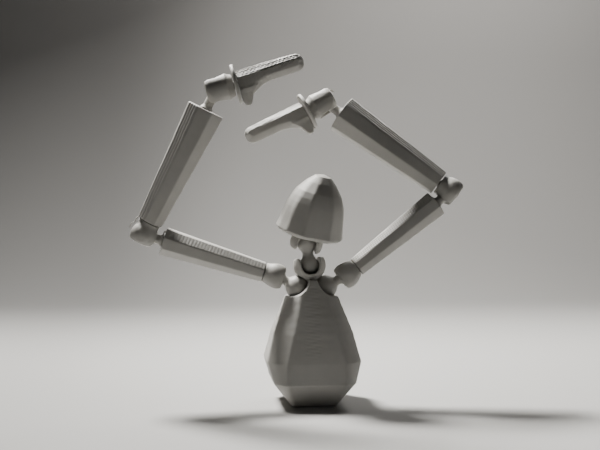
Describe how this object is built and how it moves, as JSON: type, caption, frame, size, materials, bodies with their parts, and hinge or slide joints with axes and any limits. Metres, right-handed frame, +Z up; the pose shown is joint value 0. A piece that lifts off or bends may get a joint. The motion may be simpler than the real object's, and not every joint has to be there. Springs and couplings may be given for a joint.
{
  "type": "humanoid robot kit",
  "caption": "Posable humanoid robot kit in white printed plastic: faceted torso and head, and two arms of tapered beams joined by ball studs and fork sockets, standing on a flat base.",
  "frame": {"origin": "centre of the torso's flat base, on the surface that the figure stands on", "axes": "+Z up out of the base, -Y towards the front of the figure, +X towards its left arm"},
  "size_m": [0.1206, 0.0358, 0.1234],
  "materials": {
    "shell_plastic": "matte printed plastic with fine layer lines",
    "beam_plastic": "matte printed plastic with fine raster lines",
    "joint_plastic": "matte printed plastic, lightly rubbed"
  },
  "bodies": {
    "torso": {"torso": "shell_plastic"},
    "neck_link": {"neck_link": "joint_plastic"},
    "head_socket": {"head_socket": "joint_plastic"},
    "head": {"head": "shell_plastic"},
    "right_shoulder_knob": {"right_shoulder_knob": "joint_plastic"},
    "right_shoulder_cup": {"right_shoulder_cup": "joint_plastic"},
    "right_upper_arm": {"right_upper_arm": "beam_plastic", "right_elbow_stud": "joint_plastic"},
    "right_elbow_cup": {"right_elbow_cup": "joint_plastic"},
    "right_forearm": {"right_forearm": "beam_plastic", "right_wrist_stud": "joint_plastic"},
    "right_wrist_cup": {"right_wrist_cup": "joint_plastic"},
    "right_hand": {"right_cuff_disc": "shell_plastic", "right_mitten": "shell_plastic"},
    "left_shoulder_knob": {"left_shoulder_knob": "joint_plastic"},
    "left_shoulder_cup": {"left_shoulder_cup": "joint_plastic"},
    "left_upper_arm": {"left_upper_arm": "beam_plastic", "left_elbow_stud": "joint_plastic"},
    "left_elbow_cup": {"left_elbow_cup": "joint_plastic"},
    "left_forearm": {"left_forearm": "beam_plastic", "left_wrist_stud": "joint_plastic"},
    "left_wrist_cup": {"left_wrist_cup": "joint_plastic"},
    "left_hand": {"left_cuff_disc": "shell_plastic", "left_mitten": "shell_plastic"}
  },
  "joints": [
    {"name": "neck_nod", "type": "hinge", "parent": "torso", "child": "neck_link", "pos_m": [-0.0007, 0, 0.0493], "axis": [1, 0, 0], "range_deg": [-25, 25]},
    {"name": "head_tilt", "type": "hinge", "parent": "neck_link", "child": "head_socket", "pos_m": [-0.00181, 0, 0.05722], "axis": [0, 1, 0], "range_deg": [-38, 2]},
    {"name": "head_turn", "type": "hinge", "parent": "head_socket", "child": "head", "pos_m": [-0.00181, 0, 0.05722], "axis": [0.22, -0.2079, 0.9531], "range_deg": [-80, 80]},
    {"name": "right_shoulder_turn", "type": "hinge", "parent": "torso", "child": "right_shoulder_knob", "pos_m": [-0.0052, 0, 0.0414], "axis": [0, 0, 1], "range_deg": [-40, 45]},
    {"name": "right_shoulder_lift", "type": "hinge", "parent": "right_shoulder_knob", "child": "right_shoulder_cup", "pos_m": [-0.01258, 0, 0.04541], "axis": [0, 1, 0], "range_deg": [-60, 20]},
    {"name": "right_upper_arm_twist", "type": "hinge", "parent": "right_shoulder_cup", "child": "right_upper_arm", "pos_m": [-0.01258, 0, 0.04541], "axis": [0.9542, 0, -0.299], "range_deg": [-80, 80]},
    {"name": "right_elbow_bend", "type": "hinge", "parent": "right_upper_arm", "child": "right_elbow_cup", "pos_m": [-0.05972, 0, 0.06018], "axis": [0.0416, 0.9903, 0.1328], "range_deg": [-99, 10]},
    {"name": "right_forearm_twist", "type": "hinge", "parent": "right_elbow_cup", "child": "right_forearm", "pos_m": [-0.05972, 0, 0.06018], "axis": [-0.4433, 0.1374, -0.8858], "range_deg": [-80, 80]},
    {"name": "right_wrist_bend", "type": "hinge", "parent": "right_forearm", "child": "right_wrist_cup", "pos_m": [-0.03445, -0.00783, 0.11067], "axis": [0.0416, 0.9903, 0.1328], "range_deg": [-120, 25]},
    {"name": "right_hand_twist", "type": "hinge", "parent": "right_wrist_cup", "child": "right_hand", "pos_m": [-0.03445, -0.00783, 0.11067], "axis": [-0.9597, 0.0766, -0.2705], "range_deg": [-90, 90]},
    {"name": "left_shoulder_turn", "type": "hinge", "parent": "torso", "child": "left_shoulder_knob", "pos_m": [0.0052, 0, 0.0414], "axis": [0, 0, -1], "range_deg": [-40, 45]},
    {"name": "left_shoulder_lift", "type": "hinge", "parent": "left_shoulder_knob", "child": "left_shoulder_cup", "pos_m": [0.01258, 0, 0.04541], "axis": [0, -1, 0], "range_deg": [-80, 12]},
    {"name": "left_upper_arm_twist", "type": "hinge", "parent": "left_shoulder_cup", "child": "left_upper_arm", "pos_m": [0.01258, 0, 0.04541], "axis": [-0.7859, 0, -0.6184], "range_deg": [-80, 80]},
    {"name": "left_elbow_bend", "type": "hinge", "parent": "left_upper_arm", "child": "left_elbow_cup", "pos_m": [0.0514, 0, 0.07596], "axis": [-0.1074, -0.9848, 0.1365], "range_deg": [-106, 5]},
    {"name": "left_forearm_twist", "type": "hinge", "parent": "left_elbow_cup", "child": "left_forearm", "pos_m": [0.0514, 0, 0.07596], "axis": [-0.7938, 0.1676, 0.5847], "range_deg": [-80, 30]},
    {"name": "left_wrist_bend", "type": "hinge", "parent": "left_forearm", "child": "left_wrist_cup", "pos_m": [0.00616, 0.00955, 0.10929], "axis": [-0.1074, -0.9848, 0.1365], "range_deg": [-135, 17]},
    {"name": "left_hand_twist", "type": "hinge", "parent": "left_wrist_cup", "child": "left_hand", "pos_m": [0.00616, 0.00955, 0.10929], "axis": [-0.8813, 0.0308, -0.4716], "range_deg": [-90, 90]}
  ]
}
